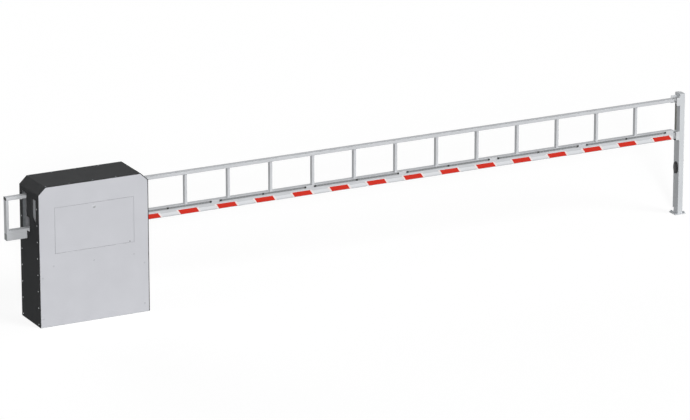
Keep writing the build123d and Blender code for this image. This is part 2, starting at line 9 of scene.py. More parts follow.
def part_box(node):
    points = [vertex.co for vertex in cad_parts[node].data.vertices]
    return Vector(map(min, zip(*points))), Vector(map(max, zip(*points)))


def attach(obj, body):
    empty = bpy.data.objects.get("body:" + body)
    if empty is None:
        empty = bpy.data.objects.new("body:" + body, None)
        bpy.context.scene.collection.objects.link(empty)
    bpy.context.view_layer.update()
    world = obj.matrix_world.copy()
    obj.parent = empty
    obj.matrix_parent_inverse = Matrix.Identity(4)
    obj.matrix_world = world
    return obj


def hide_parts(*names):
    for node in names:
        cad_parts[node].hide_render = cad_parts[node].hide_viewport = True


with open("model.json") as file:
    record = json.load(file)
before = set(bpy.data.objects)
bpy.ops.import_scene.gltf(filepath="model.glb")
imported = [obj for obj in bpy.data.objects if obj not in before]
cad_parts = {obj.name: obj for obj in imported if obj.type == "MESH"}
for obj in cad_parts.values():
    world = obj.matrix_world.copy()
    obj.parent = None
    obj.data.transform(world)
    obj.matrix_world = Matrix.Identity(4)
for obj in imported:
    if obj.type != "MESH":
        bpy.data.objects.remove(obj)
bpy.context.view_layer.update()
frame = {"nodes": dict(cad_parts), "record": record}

# A sliding boom barrier. Metres, +Z up, +X from the cabinet to the catch post, -Y the front.

MM = 0.001
TURN = 2 * math.pi
UP = (0, 0, 1)
DOWN = (0, 0, -1)
FORWARD = (0, -1, 0)
LEFTWARD = (-1, 0, 0)


# Places read from the frame

shell_low, shell_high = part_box("top_cover")
cabinet_left = shell_low.x
cabinet_right = shell_high.x
cabinet_front = shell_low.y
cabinet_back = shell_high.y
cabinet_top = shell_high.z
flap_low, flap_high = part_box("flap_panel")
lock_low, lock_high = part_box("flap_lock")
hinge_low, hinge_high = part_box("cabinet_hinges")
control_low, control_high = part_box("control_unit")
motor_low, motor_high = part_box("drive_motor")
gear_low, gear_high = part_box("gearbox")
top_rail_low, top_rail_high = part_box("top_rail")
beam_low, beam_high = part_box("lower_beam")
pads_low, pads_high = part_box("catch_pads")
side_strip_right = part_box("post_side_strip")[1].x
cover_low, cover_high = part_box("oval_cover")
foot_low, foot_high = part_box("post_base_plate")
sheet = 3 * MM
flap_gap = 5 * MM
catch_web = 6 * MM


# Small helpers


def linear(code):
    """An sRGB hex colour as linear red, green, blue and alpha."""
    parts = [int(code[i:i + 2], 16) / 255 for i in (1, 3, 5)]
    return [p / 12.92 if p <= 0.04045 else ((p + 0.055) / 1.055) ** 2.4 for p in parts] + [1.0]


def deselect():
    """Leaves nothing selected."""
    bpy.ops.object.select_all(action="DESELECT")


def named(name):
    """Names the piece that was just added or joined."""
    piece = bpy.context.active_object
    piece.name = name
    piece.data.name = name
    return piece


def add_block(name, low, high):
    """A cube primitive at its size and place, between two corners."""
    deselect()
    low, high = Vector(low), Vector(high)
    bpy.ops.mesh.primitive_cube_add(size=1, location=(low + high) / 2, scale=high - low)
    return settle(named(name))


def add_disc(name, radius, depth, base=0.0, sides=24):
    """A cylinder primitive along Z that stands on a height."""
    deselect()
    bpy.ops.mesh.primitive_cylinder_add(
        vertices=sides, radius=radius, depth=depth, location=(0, 0, base + depth / 2))
    return settle(named(name))


def open_edit(piece, kind, test):
    """Opens a piece in edit mode with only the faces or edges that pass a test selected."""
    bpy.context.view_layer.objects.active = piece
    bpy.ops.object.mode_set(mode="EDIT")
    bpy.ops.mesh.select_mode(type=kind)
    bpy.ops.mesh.select_all(action="DESELECT")
    shape = bmesh.from_edit_mesh(piece.data)
    for part in (shape.faces if kind == "FACE" else shape.edges):
        part.select = test(part)
    shape.select_flush_mode()
    bmesh.update_edit_mesh(piece.data)


def leave_edit():
    """Back to object mode."""
    bpy.ops.object.mode_set(mode="OBJECT")


def inset_steps(piece, test, steps):
    """Insets the chosen faces once for each step of width and depth."""
    open_edit(piece, "FACE", test)
    for width, depth in steps:
        bpy.ops.mesh.inset(thickness=width, depth=depth)
    leave_edit()
    return piece


def bevel_edges(piece, test, width, segments=2):
    """Bevels the chosen edges."""
    open_edit(piece, "EDGE", test)
    bpy.ops.mesh.bevel(offset=width, segments=segments)
    leave_edit()
    return piece


def facing(direction):
    """A test for faces that look a given way."""
    aim = Vector(direction)
    return lambda face: face.normal.dot(aim) > 0.9


def any_part(part):
    """A test that takes everything."""
    return True


def settle(piece):
    """Puts a piece's place into its mesh, so that its object sits at the origin."""
    deselect()
    piece.select_set(True)
    bpy.context.view_layer.objects.active = piece
    bpy.ops.object.transform_apply(location=True, rotation=True, scale=True)
    return piece


def pointing(direction, x, y, z):
    """The placement that turns a piece's +Z into a direction and moves it to a point."""
    turn = Vector(direction).to_track_quat("Z", "Y").to_matrix().to_4x4()
    return Matrix.Translation((x, y, z)) @ turn


def joined(pieces, name):
    """One mesh from several pieces."""
    deselect()
    for piece in pieces:
        piece.select_set(True)
    bpy.context.view_layer.objects.active = pieces[0]
    if len(pieces) > 1:
        bpy.ops.object.join()
    return named(name)


def copies(master, name, placements):
    """One joined mesh with a copy of a master shape at each placement; the master goes."""
    made = []
    for placement in placements:
        twin = master.copy()
        twin.data = master.data.copy()
        twin.data.transform(placement)
        bpy.context.scene.collection.objects.link(twin)
        made.append(twin)
    bpy.data.objects.remove(master)
    return joined(made, name)


def fit_out(piece, body, material):
    """Shading, material and body of one finished piece."""
    deselect()
    piece.select_set(True)
    bpy.context.view_layer.objects.active = piece
    bpy.ops.object.shade_smooth_by_angle(angle=math.radians(35))
    piece.data.materials.clear()
    piece.data.materials.append(material)
    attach(piece, body)
    return piece


# Materials


def add(tree, kind, sockets=None, **settings):
    """Adds one node; its sockets take numbers, colours or other nodes' outputs."""
    made = tree.nodes.new(kind)
    for name, value in settings.items():
        setattr(made, name, value)
    for name, value in (sockets or {}).items():
        if isinstance(value, bpy.types.NodeSocket):
            tree.links.new(value, made.inputs[name])
        else:
            made.inputs[name].default_value = value
    return made


def start_material(name, **constants):
    """A new material with its shader's constant values set; returns it, its tree and the shader."""
    material = bpy.data.materials.new(name)
    material.use_nodes = True
    tree = material.node_tree
    shader = tree.nodes["Principled BSDF"]
    for key, value in constants.items():
        shader.inputs[key.replace("_", " ")].default_value = value
    return material, tree, shader


def object_coordinates(tree, stretch=(1, 1, 1)):
    """Object coordinates, stretched by a factor along each axis."""
    place = add(tree, "ShaderNodeTexCoord")
    return add(tree, "ShaderNodeMapping", {"Vector": place.outputs["Object"], "Scale": stretch}).outputs[0]


def noise(tree, vector, size, detail=2.0):
    """Noise whose grains are about one size across, in metres; centred on a half."""
    sockets = {"Vector": vector, "Scale": 1 / size, "Detail": detail}
    return add(tree, "ShaderNodeTexNoise", sockets).outputs["Fac"]


def tinted(tree, shader, factor, dark, light, low=0.3, high=0.7):
    """Base colour that runs from a dark to a light tone as a factor grows."""
    ramp = add(tree, "ShaderNodeMapRange", {"Value": factor, "From Min": low, "From Max": high})
    blend = add(tree, "ShaderNodeMix", {"Factor": ramp.outputs[0]}, data_type="RGBA")
    blend.inputs["A"].default_value = linear(dark)
    blend.inputs["B"].default_value = linear(light)
    tree.links.new(blend.outputs["Result"], shader.inputs["Base Color"])


def grained(tree, shader, height, depth):
    """Bump of a real depth in metres."""
    bump = add(tree, "ShaderNodeBump", {"Height": height, "Distance": depth, "Strength": 1.0})
    tree.links.new(bump.outputs["Normal"], shader.inputs["Normal"])


def varied_roughness(tree, shader, factor, low, high):
    """Roughness that runs between two values."""
    spread = add(tree, "ShaderNodeMapRange", {"Value": factor, "To Min": low, "To Max": high})
    tree.links.new(spread.outputs[0], shader.inputs["Roughness"])


def powder_coat(name, dark, light, roughness, level, peel, depth, inner=None):
    """Polyester powder coat, sprayed and baked: an even tone over fine orange peel; with an inner tone, the
    inside of the cabinet is darkened as painted shade.
    """
    material, tree, shader = start_material(name, IOR=1.45, Specular_IOR_Level=level)
    here = object_coordinates(tree)
    tinted(tree, shader, noise(tree, here, 240 * MM, 3), dark, light)
    varied_roughness(tree, shader, noise(tree, here, 60 * MM), roughness - 0.05, roughness + 0.05)
    grained(tree, shader, noise(tree, here, peel, 1), depth)
    if inner:
        shade_painted_inside(tree, shader, inner)
    return material


def shade_painted_inside(tree, shader, shade_tone):
    """A darker tone, painted shade, on everything more than a sheet's half thickness behind the front or
    back cover.
    """
    outer = shader.inputs["Base Color"].links[0].from_socket
    place = add(tree, "ShaderNodeSeparateXYZ", {"Vector": add(tree, "ShaderNodeTexCoord").outputs["Object"]})
    reach = add(tree, "ShaderNodeMath", {0: place.outputs["Y"]}, operation="ABSOLUTE")
    skin = cabinet_back - sheet / 2
    inside = add(tree, "ShaderNodeMath", {0: reach.outputs[0], 1: skin}, operation="LESS_THAN")
    blend = add(tree, "ShaderNodeMix", {"Factor": inside.outputs[0]}, data_type="RGBA")
    tree.links.new(outer, blend.inputs["A"])
    blend.inputs["B"].default_value = linear(shade_tone)
    tree.links.new(blend.outputs["Result"], shader.inputs["Base Color"])


def drawn_metal(name, dark, light, axis, roughness, metal, grain=1.2 * MM, draw=160 * MM):
    """Metal with fine lines along the way it was drawn or milled, which spread the light across."""
    material, tree, shader = start_material(name, Metallic=metal)
    stretch = [1.0, 1.0, 1.0]
    stretch["XYZ".index(axis)] = grain / draw
    lines = noise(tree, object_coordinates(tree, stretch), grain)
    cloud = noise(tree, object_coordinates(tree), 180 * MM, 3)
    tinted(tree, shader, cloud, dark, light)
    varied_roughness(tree, shader, lines, roughness - 0.06, roughness + 0.06)
    grained(tree, shader, lines, 0.03 * MM)
    return material


def zinc_plate(name, dark, light):
    """Zinc-plated steel: cool grey with soft cloudy patches and a satin shine."""
    material, tree, shader = start_material(name, Metallic=0.8)
    here = object_coordinates(tree)
    tinted(tree, shader, noise(tree, here, 35 * MM, 4), dark, light)
    varied_roughness(tree, shader, noise(tree, here, 12 * MM), 0.35, 0.5)
    grained(tree, shader, noise(tree, here, 2 * MM), 0.02 * MM)
    return material


def moulded(name, dark, light, roughness, grain=0.7 * MM):
    """Moulded plastic or rubber with the fine grain of an eroded mould, which dulls its highlights."""
    material, tree, shader = start_material(name, IOR=1.5, Specular_IOR_Level=0.35)
    here = object_coordinates(tree)
    tinted(tree, shader, noise(tree, here, 40 * MM), dark, light)
    varied_roughness(tree, shader, noise(tree, here, 9 * MM), roughness - 0.05, roughness + 0.05)
    grained(tree, shader, noise(tree, here, grain, 1), 0.04 * MM)
    return material


def reflective_sheet(name, tone, edge):
    """Retroreflective sheeting: smooth film over a honeycomb of sealed cells 4 mm wide."""
    material, tree, shader = start_material(name, Roughness=0.35, IOR=1.49, Specular_IOR_Level=0.3)
    cells = add(tree, "ShaderNodeTexVoronoi", {"Vector": object_coordinates(tree), "Scale": 1 / (4 * MM),
                                               "Randomness": 0.25}, feature="DISTANCE_TO_EDGE")
    tinted(tree, shader, cells.outputs["Distance"], edge, tone, 0.02, 0.1)
    return material


def lamp_cover(name, tone, point_tone):
    """Smoked polycarbonate cover, extruded, with pale lamp points 33 mm apart behind it."""
    pitch = 33.3 * MM
    radius = 3.5 * MM
    strip_low, strip_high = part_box("light_strips")
    middle = (strip_low.z + strip_high.z) / 2
    material, tree, shader = start_material(name, Roughness=0.3, IOR=1.58, Specular_IOR_Level=0.3)
    place = add(tree, "ShaderNodeSeparateXYZ", {"Vector": add(tree, "ShaderNodeTexCoord").outputs["Object"]})
    along = add(tree, "ShaderNodeMath", {0: place.outputs["X"], 1: pitch}, operation="PINGPONG")
    away = add(tree, "ShaderNodeMath", {0: along.outputs[0], 1: pitch / 2}, operation="SUBTRACT")
    height = add(tree, "ShaderNodeMath", {0: place.outputs["Z"], 1: middle}, operation="SUBTRACT")
    offset = add(tree, "ShaderNodeCombineXYZ", {"X": away.outputs[0], "Y": height.outputs[0]})
    span = add(tree, "ShaderNodeVectorMath", {0: offset.outputs[0]}, operation="LENGTH")
    tinted(tree, shader, span.outputs["Value"], point_tone, tone, 0.7 * radius, radius)
    return material


def ribbed_profile(name, dark, light):
    """Extruded plastic with upright grooves 6 mm apart, painted darker in the grooves as shade."""
    pitch = 6 * MM
    material, tree, shader = start_material(name, Roughness=0.55, IOR=1.5, Specular_IOR_Level=0.3)
    sockets = {"Vector": object_coordinates(tree), "Scale": math.pi / 10 / pitch}
    waves = add(tree, "ShaderNodeTexWave", sockets, wave_type="BANDS", bands_direction="Y")
    tinted(tree, shader, waves.outputs["Fac"], dark, light, 0.1, 0.9)
    grained(tree, shader, waves.outputs["Fac"], 1.0 * MM)
    return material


PEEL = 0.9 * MM
RISE = 0.04 * MM
# The peel of the anthracite coat is coarser than a real one, so that it shows at close range.
anthracite = powder_coat("anthracite_powder_coat", "#323334", "#363738", 0.64, 0.04, 1.4 * MM, 0.08 * MM)
light_grey = powder_coat("light_grey_powder_coat", "#c5c6cb", "#c9cacf", 0.55, 0.2, PEEL, RISE)
# The cover's darker tone inside the cabinet is painted shade.
cover_grey = powder_coat("light_grey_cover_coat", "#c5c6cb", "#c9cacf", 0.55, 0.2, PEEL, RISE, "#7a7b7e")
post_grey = powder_coat("pale_grey_powder_coat", "#cccfd2", "#d1d4d7", 0.55, 0.2, PEEL, RISE)
case_grey = powder_coat("control_case_powder_coat", "#b9bab6", "#c2c3bf", 0.5, 0.3, PEEL, RISE)
enamel = powder_coat("blue_grey_machine_enamel", "#4d5a66", "#566470", 0.4, 0.4, 1.2 * MM, 0.05 * MM)
tube_metal = drawn_metal("anodised_aluminium_drawn", "#c3c5c8", "#cacccf", "X", 0.7, 0.1)
upright_metal = drawn_metal("anodised_aluminium_upright", "#c3c5c8", "#cacccf", "Z", 0.7, 0.1)
catch_metal = drawn_metal("milled_aluminium", "#c8cacc", "#cfd1d3", "Z", 0.6, 0.15)
turned_steel = drawn_metal("turned_steel", "#a6a8aa", "#b8babc", "Y", 0.35, 0.9)
fastener_steel = drawn_metal("stainless_fastener_steel", "#a9abad", "#bcbec0", "Z", 0.35, 0.9, 0.6 * MM)
weld_metal = drawn_metal("aluminium_weld_bead", "#b4b6b8", "#c6c8ca", "Z", 0.45, 0.4, 2.5 * MM, 3 * MM)
zinc = zinc_plate("zinc_plated_steel", "#8f9498", "#b2b6b8")
nylon = moulded("turned_black_nylon", "#2a2a2b", "#343435", 0.5)
rubber = moulded("black_rubber_moulded", "#1f1f20", "#29292a", 0.75, 1.0 * MM)
pale_rubber = moulded("pale_grey_rubber_moulded", "#bdbec3", "#c4c5ca", 0.75, 1.0 * MM)
buffer_rubber = moulded("grey_buffer_rubber_moulded", "#a4a6a8", "#b0b2b4", 0.7, 1.0 * MM)
grey_cap = moulded("grey_cap_moulded", "#8b8e90", "#95989a", 0.55)
plug_grey = moulded("grey_plug_moulded", "#b6b7bc", "#bcbdc2", 0.6)
black_plastic = moulded("black_plastic_moulded", "#1c1c1d", "#252526", 0.5)
dark_lens = moulded("dark_lens_polycarbonate", "#2f3032", "#38393b", 0.2)
red_sheeting = reflective_sheet("red_reflective_sheeting", "#d42e1c", "#c42818")
white_sheeting = reflective_sheet("white_reflective_sheeting", "#ece3e1", "#ded3d1")
pale_film = reflective_sheet("pale_grey_reflective_film", "#dddfe2", "#d2d4d7")
smoked_cover = lamp_cover("smoked_polycarbonate_extruded", "#7f8183", "#a9abac")
# The strip's dark tone is partly its own colour and partly painted shade of the pocket between the catches.
dark_profile = ribbed_profile("ribbed_plastic_extruded", "#63635f", "#7c7c77")

finishes = {
    "anthracite_sheet": anthracite,
    "light_grey_sheet": cover_grey,
    "zinc_steel": zinc,
    "roller_plastic": nylon,
    "bright_steel": turned_steel,
    "drive_rubber": rubber,
    "drive_paint": enamel,
    "control_case": case_grey,
    "boom_aluminium": tube_metal,
    "cap_plastic": grey_cap,
    "light_cover": smoked_cover,
    "black_plastic": black_plastic,
    "side_strip_plastic": dark_profile,
    "reflector_white": white_sheeting,
    "reflector_red": red_sheeting,
    "post_coating": post_grey,
    "catch_casting": catch_metal,
}
own_finishes = {
    "boom_uprights": upright_metal,
    "tail_upright": upright_metal,
    "cabinet_hinges": light_grey,
    "flap_hinge_leaves": light_grey,
}


def dress_nodes():
    """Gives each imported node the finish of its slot, apart from the few with one of their own."""
    for row in frame["record"]["subparts"]:
        name = row["node"]
        node = frame["nodes"][name]
        node.data.materials.clear()
        node.data.materials.append(own_finishes.get(name, finishes[row["material_slot"]]))


dress_nodes()


# Screws, plugs and nuts


def button_screw(radius, height):
    """The head of a button screw with its socket, standing on z = 0."""
    head = add_disc("button_screw", radius, height, sides=12)
    steps = [(0.3 * radius, 0), (0.25 * radius, 0.2 * height), (0.04 * radius, -0.6 * height)]
    inset_steps(head, facing(UP), steps)
    rim = radius * 0.99
    top = 0.9 * height
    return bevel_edges(head, lambda e: all(v.co.z > top and v.co.xy.length > rim for v in e.verts),
                       0.45 * height)


def flush_screw(radius, depth):
    """A countersunk screw's flat head with its socket, whose top is at z = 0."""
    head = add_disc("flush_screw", radius, depth, -depth, 16)
    return inset_steps(head, facing(UP), [(0.05 * radius, 0.1 * radius), (0.4 * radius, 0),
                                          (0.04 * radius, -0.5 * depth)])


def round_plug(radius, height):
    """The low domed head of a plug, standing on z = 0."""
    head = add_disc("round_plug", radius, height)
    return inset_steps(head, facing(UP), [(0.2 * radius, 0.5 * height), (0.3 * radius, 0.2 * height)])


def anchor_nut(thread, washer):
    """A washer, a chamfered hexagon nut and the end of its bolt, standing on z = 0."""
    disc = add_disc("washer", washer, 0.3 * thread)
    inset_steps(disc, facing(UP), [(0.1 * thread, 0.06 * thread)])
    nut = add_disc("nut", 0.92 * thread, 0.8 * thread, 0.3 * thread, 6)
    inset_steps(nut, facing(UP), [(0.12 * thread, 0.1 * thread)])
    stud = add_disc("stud", thread / 2, 0.5 * thread, 1.1 * thread, 16)
    inset_steps(stud, facing(UP), [(0.12 * thread, 0.08 * thread)])
    return joined([disc, nut, stud], "anchor_nut")


screw_radius = 6.0 * MM
screw_height = 3.2 * MM
side_screw_edge = 33 * MM
side_screw_low = 32 * MM
side_screw_pitch = 160 * MM
side_screw_rows = 8
roof_screw_edge = 15 * MM
roof_screw_pitch = 238 * MM
roof_screw_radius = 5.7 * MM
plug_radius = 9 * MM
plug_height = 1.2 * MM


def side_screws(side, name):
    """The two rows of screws along the front and back edges of one side."""
    x = cabinet_right if side > 0 else cabinet_left
    spots = []
    for y in (cabinet_front + side_screw_edge, cabinet_back - side_screw_edge):
        for n in range(side_screw_rows):
            spots.append(pointing((side, 0, 0), x, y, side_screw_low + side_screw_pitch * n))
    row = copies(button_screw(screw_radius, screw_height), name, spots)
    fit_out(row, "housing", fastener_steel)


def roof_screws():
    """The rows of flush screws in the holes along the roof's front and back edges."""
    spots = []
    for y in (cabinet_front + roof_screw_edge, cabinet_back - roof_screw_edge):
        for n in range(-2, 3):
            spots.append(pointing(UP, roof_screw_pitch * n, y, cabinet_top - roof_screw_radius * 0.1))
    row = copies(flush_screw(roof_screw_radius, sheet), "roof_screws", spots)
    fit_out(row, "housing", zinc)


def cover_plugs():
    """The few small plugs in the front cover."""
    below_flap = 0.588
    left_column = -0.526
    right_column = 0.511
    places = [(x, below_flap) for x in (-0.415, -0.005, 0.405)]
    for z in (0.086, 0.486):
        places += [(left_column, z), (right_column, z)]
    spots = [pointing(FORWARD, x, cabinet_front, z) for x, z in places]
    row = copies(round_plug(plug_radius, plug_height), "cover_plugs", spots)
    fit_out(row, "housing", plug_grey)


def post_anchor_nuts():
    """Nuts and washers on the four anchors of the post's foot plate."""
    reach = 45 * MM
    middle = (foot_low + foot_high) / 2
    spots = [pointing(UP, middle.x + a * reach, middle.y + b * reach, foot_high.z)
             for a in (-1, 1) for b in (-1, 1)]
    row = copies(anchor_nut(10 * MM, 10 * MM), "post_anchor_nuts", spots)
    fit_out(row, "housing", zinc)


def cabinet_anchor_nuts():
    """Nuts and washers on the four anchors of the cabinet's foot frame."""
    reach_x = 0.495
    reach_y = 0.17
    flange = 6 * MM
    spots = [pointing(UP, a * reach_x, b * reach_y, flange) for a in (-1, 1) for b in (-1, 1)]
    row = copies(anchor_nut(16 * MM, 15 * MM), "cabinet_anchor_nuts", spots)
    fit_out(row, "housing", zinc)


side_screws(-1, "left_side_screws")
side_screws(1, "right_side_screws")
roof_screws()
cover_plugs()
post_anchor_nuts()
cabinet_anchor_nuts()


# Access flap


def lock_rosette():
    """The turned ring round the lock head."""
    head_radius = (lock_high.z - lock_low.z) / 2
    ring_radius = head_radius + 4 * MM
    height = 1.4 * MM
    rim = 0.8 * MM
    ring = add_disc("lock_rosette", ring_radius, height, sides=48)
    inset_steps(ring, facing(UP), [(rim, 0.5 * MM)])
    open_edit(ring, "FACE", lambda f: abs(f.normal.z) > 0.9)
    bpy.ops.mesh.inset(thickness=ring_radius - head_radius - rim)
    bpy.ops.mesh.bridge_edge_loops()
    leave_edit()
    middle = (flap_low.x + flap_high.x) / 2
    ring.data.transform(pointing(FORWARD, middle, cabinet_front, (lock_low.z + lock_high.z) / 2))
    fit_out(ring, "flap", turned_steel)


def flap_seal():
    """The pale rubber seal in the gap along the flap's sides and top; it stops above the hinges."""
    width = 3.6 * MM
    front = cabinet_front + 0.4 * MM
    back = cabinet_front + sheet + flap_gap
    low = (flap_low.x - flap_gap, front, flap_low.z - flap_gap)
    high = (flap_high.x + flap_gap, back, flap_high.z + flap_gap)
    seal = add_block("flap_seal", low, high)
    open_edit(seal, "FACE", lambda f: abs(f.normal.y) > 0.9)
    bpy.ops.mesh.inset(thickness=width)
    bpy.ops.mesh.bridge_edge_loops()
    bpy.ops.mesh.select_all(action="SELECT")
    bpy.ops.mesh.bisect(plane_co=(0, 0, flap_low.z), plane_no=UP, clear_inner=True, use_fill=True)
    leave_edit()
    bevel_edges(seal, lambda e: all(v.co.y < front + MM for v in e.verts), 0.6 * MM)
    fit_out(seal, "housing", pale_rubber)


def flap_hem():
    """The flap's folded lower edge, cut away at its two hinges."""
    drop = 3.4 * MM
    clear = 2 * MM
    middle = (flap_low.x + flap_high.x) / 2
    hinge_reach = (hinge_high.x - hinge_low.x) / 2
    leaf = 80 * MM
    ends = [flap_low.x, middle - hinge_reach - clear, middle - hinge_reach + leaf + clear,
            middle + hinge_reach - leaf - clear, middle + hinge_reach + clear, flap_high.x]
    bars = []
    for x0, x1 in zip(ends[::2], ends[1::2]):
        low = (x0, cabinet_front, flap_low.z - drop)
        bar = add_block("hem", low, (x1, cabinet_front + sheet, flap_low.z))
        bevel_edges(bar, lambda e: all(v.co.z < flap_low.z - MM for v in e.verts), 0.8 * MM, 3)
        bars.append(bar)
    fit_out(joined(bars, "flap_hem"), "flap", light_grey)


def flap_button():
    """The small dark rubber button at the flap's lower right."""
    radius = 4.5 * MM
    from_right = 42 * MM
    above_edge = 8 * MM
    button = add_disc("flap_button", radius, 1.5 * MM)
    inset_steps(button, facing(UP), [(0.25 * radius, 0.8 * MM)])
    x = flap_high.x - from_right
    button.data.transform(pointing(FORWARD, x, cabinet_front, flap_low.z + above_edge))
    fit_out(button, "flap", rubber)


lock_rosette()
flap_seal()
flap_hem()
flap_button()


# Behind the flap


def control_door():
    """The raised door of the control box with its rounded edge."""
    margin = 10 * MM
    rise = 2 * MM
    front = control_low.y - rise
    door = add_block("control_door", (control_low.x + margin, front, control_low.z + margin),
                     (control_high.x - margin, control_low.y, control_high.z - margin))
    inset_steps(door, facing(FORWARD), [(14 * MM, 0), (2 * MM, 0.8 * MM)])
    fit_out(door, "housing", case_grey)


def control_locks():
    """Two quarter-turn locks on the control box's door."""
    radius = 9 * MM
    lock = add_disc("control_lock", radius, 3 * MM)
    inset_steps(lock, facing(UP), [(0.3 * radius, 0.6 * MM), (0.2 * radius, -1.2 * MM)])
    x = control_high.x - 26 * MM
    middle = (control_low.z + control_high.z) / 2
    spots = [pointing(FORWARD, x, control_low.y - 2 * MM, middle + a * 90 * MM) for a in (-1, 1)]
    fit_out(copies(lock, "control_locks", spots), "housing", black_plastic)


def cable_glands():
    """A row of cable glands with blind plugs under the control box."""
    body = add_disc("gland", 12 * MM, 6 * MM, 0, 6)
    cap = add_disc("gland_cap", 10 * MM, 10 * MM, 6 * MM)
    inset_steps(cap, facing(UP), [(2 * MM, 2 * MM), (2.5 * MM, 0), (0.5 * MM, -3 * MM)])
    gland = joined([body, cap], "gland")
    y = (control_low.y + control_high.y) / 2
    spots = [pointing(DOWN, control_low.x + (60 + 60 * n) * MM, y, control_low.z) for n in range(6)]
    fit_out(copies(gland, "cable_glands", spots), "housing", black_plastic)


def motor_fins():
    """Cooling fins along the motor, left out underneath, where the motor lies on its plate."""
    radius = (motor_high.z - motor_low.z) / 2
    centre_y = (motor_low.y + motor_high.y) / 2
    centre_z = (motor_low.z + motor_high.z) / 2
    stand = 6 * MM
    half = 1.5 * MM
    count = 32
    fin = add_block("fin", (motor_low.x + 60 * MM, -half, radius - MM),
                    (motor_high.x - 30 * MM, half, radius + stand))
    bevel_edges(fin, lambda e: all(v.co.z > radius for v in e.verts), 0.8 * MM, 1)
    spots = []
    for n in range(count):
        angle = TURN * n / count
        if math.cos(angle) > -0.6:
            spots.append(Matrix.Translation((0, centre_y, centre_z)) @ Matrix.Rotation(angle, 4, "X"))
    fit_out(copies(fin, "motor_fins", spots), "housing", enamel)


def motor_terminal_box():
    """The terminal box on top of the motor, with its lid."""
    centre_y = (motor_low.y + motor_high.y) / 2
    x1 = motor_high.x - 50 * MM
    low = motor_high.z - 6 * MM
    box = add_block("motor_terminal_box", (x1 - 90 * MM, centre_y - 38 * MM, low),
                    (x1, centre_y + 38 * MM, low + 34 * MM))
    bevel_edges(box, lambda e: abs((e.verts[0].co - e.verts[1].co).normalized().z) > 0.9, 5 * MM, 3)
    inset_steps(box, facing(UP), [(1.5 * MM, 0), (0, 2 * MM), (4 * MM, 1.5 * MM)])
    fit_out(box, "housing", enamel)


def gearbox_lid():
    """The lid with rounded corners and a sunk panel on the front of the gear case, with its screws."""
    margin = 12 * MM
    thick = 5 * MM
    lid = add_block("gearbox_lid", (gear_low.x + margin, gear_low.y - thick, gear_low.z + margin),
                    (gear_high.x - margin, gear_low.y, gear_high.z - margin))
    bevel_edges(lid, lambda e: abs((e.verts[0].co - e.verts[1].co).normalized().y) > 0.9, 24 * MM, 4)
    inset_steps(lid, facing(FORWARD), [(18 * MM, 0), (3 * MM, -2 * MM)])
    fit_out(lid, "housing", enamel)
    screw_inset = 11 * MM
    reach_x = (gear_high.x - gear_low.x) / 2 - margin - screw_inset
    reach_z = (gear_high.z - gear_low.z) / 2 - margin - screw_inset
    x = (gear_low.x + gear_high.x) / 2
    z = (gear_low.z + gear_high.z) / 2
    spots = [pointing(FORWARD, x + a * reach_x, gear_low.y - thick, z + b * reach_z)
             for a in (-1, 1) for b in (-1, 1)]
    row = copies(button_screw(5 * MM, 3 * MM), "gearbox_screws", spots)
    fit_out(row, "housing", fastener_steel)


control_door()
control_locks()
cable_glands()
motor_fins()
motor_terminal_box()
gearbox_lid()


# Boom


def bead(x0, x1, y0, y1, z, size, way):
    """A weld bead round the end of a rectangular tube, from height z upwards or downwards."""
    low, high = sorted((z, z + way * size))
    ring = add_block("bead", (x0 - size, y0 - size, low), (x1 + size, y1 + size, high))
    open_edit(ring, "FACE", lambda f: abs(f.normal.z) > 0.9)
    bpy.ops.mesh.inset(thickness=size)
    bpy.ops.mesh.bridge_edge_loops()
    leave_edit()
    far = z + way * size

    def outer_rim(edge):
        """Both ends lie at the far height, on the outside."""
        return all(abs(v.co.z - far) < size / 9 and (not x0 - size / 2 < v.co.x < x1 + size / 2
                                                     or not y0 - size / 2 < v.co.y < y1 + size / 2)
                   for v in edge.verts)

    return bevel_edges(ring, outer_rim, 0.7 * size)


def upright_middles():
    """The middles of the uprights along X, read from the node's own separate tubes."""
    apart = 100 * MM
    points = sorted(v.co.x for v in frame["nodes"]["boom_uprights"].data.vertices)
    middles = []
    start = last = points[0]
    for x in points[1:] + [math.inf]:
        if x - last > apart:
            middles.append((start + last) / 2)
            start = x
        last = x
    return middles


def upright_welds():
    """Weld beads at the foot and at the head of every upright."""
    low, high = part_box("boom_uprights")
    size = 3 * MM
    half = 12.5 * MM
    foot = bead(-half, half, low.y, high.y, low.z, size, 1)
    head = bead(-half, half, low.y, high.y, high.z, size, -1)
    pair = joined([foot, head], "bead_pair")
    spots = [Matrix.Translation((x, 0, 0)) for x in upright_middles()]
    fit_out(copies(pair, "upright_welds", spots), "boom", weld_metal)


def beam_film():
    """The thin pale film along the middle of the beam's front, which runs on under the plates."""
    thick = 0.4 * MM
    above_foot = 13 * MM
    width = 27 * MM
    plates_low, plates_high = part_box("reflector_backings")
    low = (plates_low.x, beam_low.y - thick, beam_low.z + above_foot)
    film = add_block("beam_film", low, (plates_high.x, beam_low.y, low[2] + width))
    front = beam_low.y - thick / 2
    bevel_edges(film, lambda e: all(v.co.y < front for v in e.verts), 0.15 * MM, 1)
    fit_out(film, "boom", pale_film)


upright_welds()
beam_film()


# Black rubber trims of the openings in the sides; their black partly stands in for the deep shade at the
# openings' edges

slot_front = beam_low.y - 35 * MM
slot_back = beam_high.y + 15 * MM
slot_low = beam_low.z - 12 * MM
slot_top = top_rail_high.z + 34 * MM
step_front = slot_front - 65 * MM
step_low = beam_high.z + 18 * MM
step_top = step_low + 146 * MM
window_front = cabinet_front + 55 * MM
window_back = window_front + 85 * MM
window_top = cabinet_top - 133 * MM
window_low = window_top - 218 * MM
trim_width = 1.5 * MM
trim_stand = 1 * MM
trim_depth = 6 * MM


def opening_face(name, x, y0, y1, z0, z1):
    """A flat rectangle across an opening in a side."""
    deselect()
    middle = (x, (y0 + y1) / 2, (z0 + z1) / 2)
    bpy.ops.mesh.primitive_plane_add(size=1, location=middle, rotation=(0, TURN / 4, 0))
    face = named(name)
    face.scale = (z1 - z0, y1 - y0, 1)
    return settle(face)


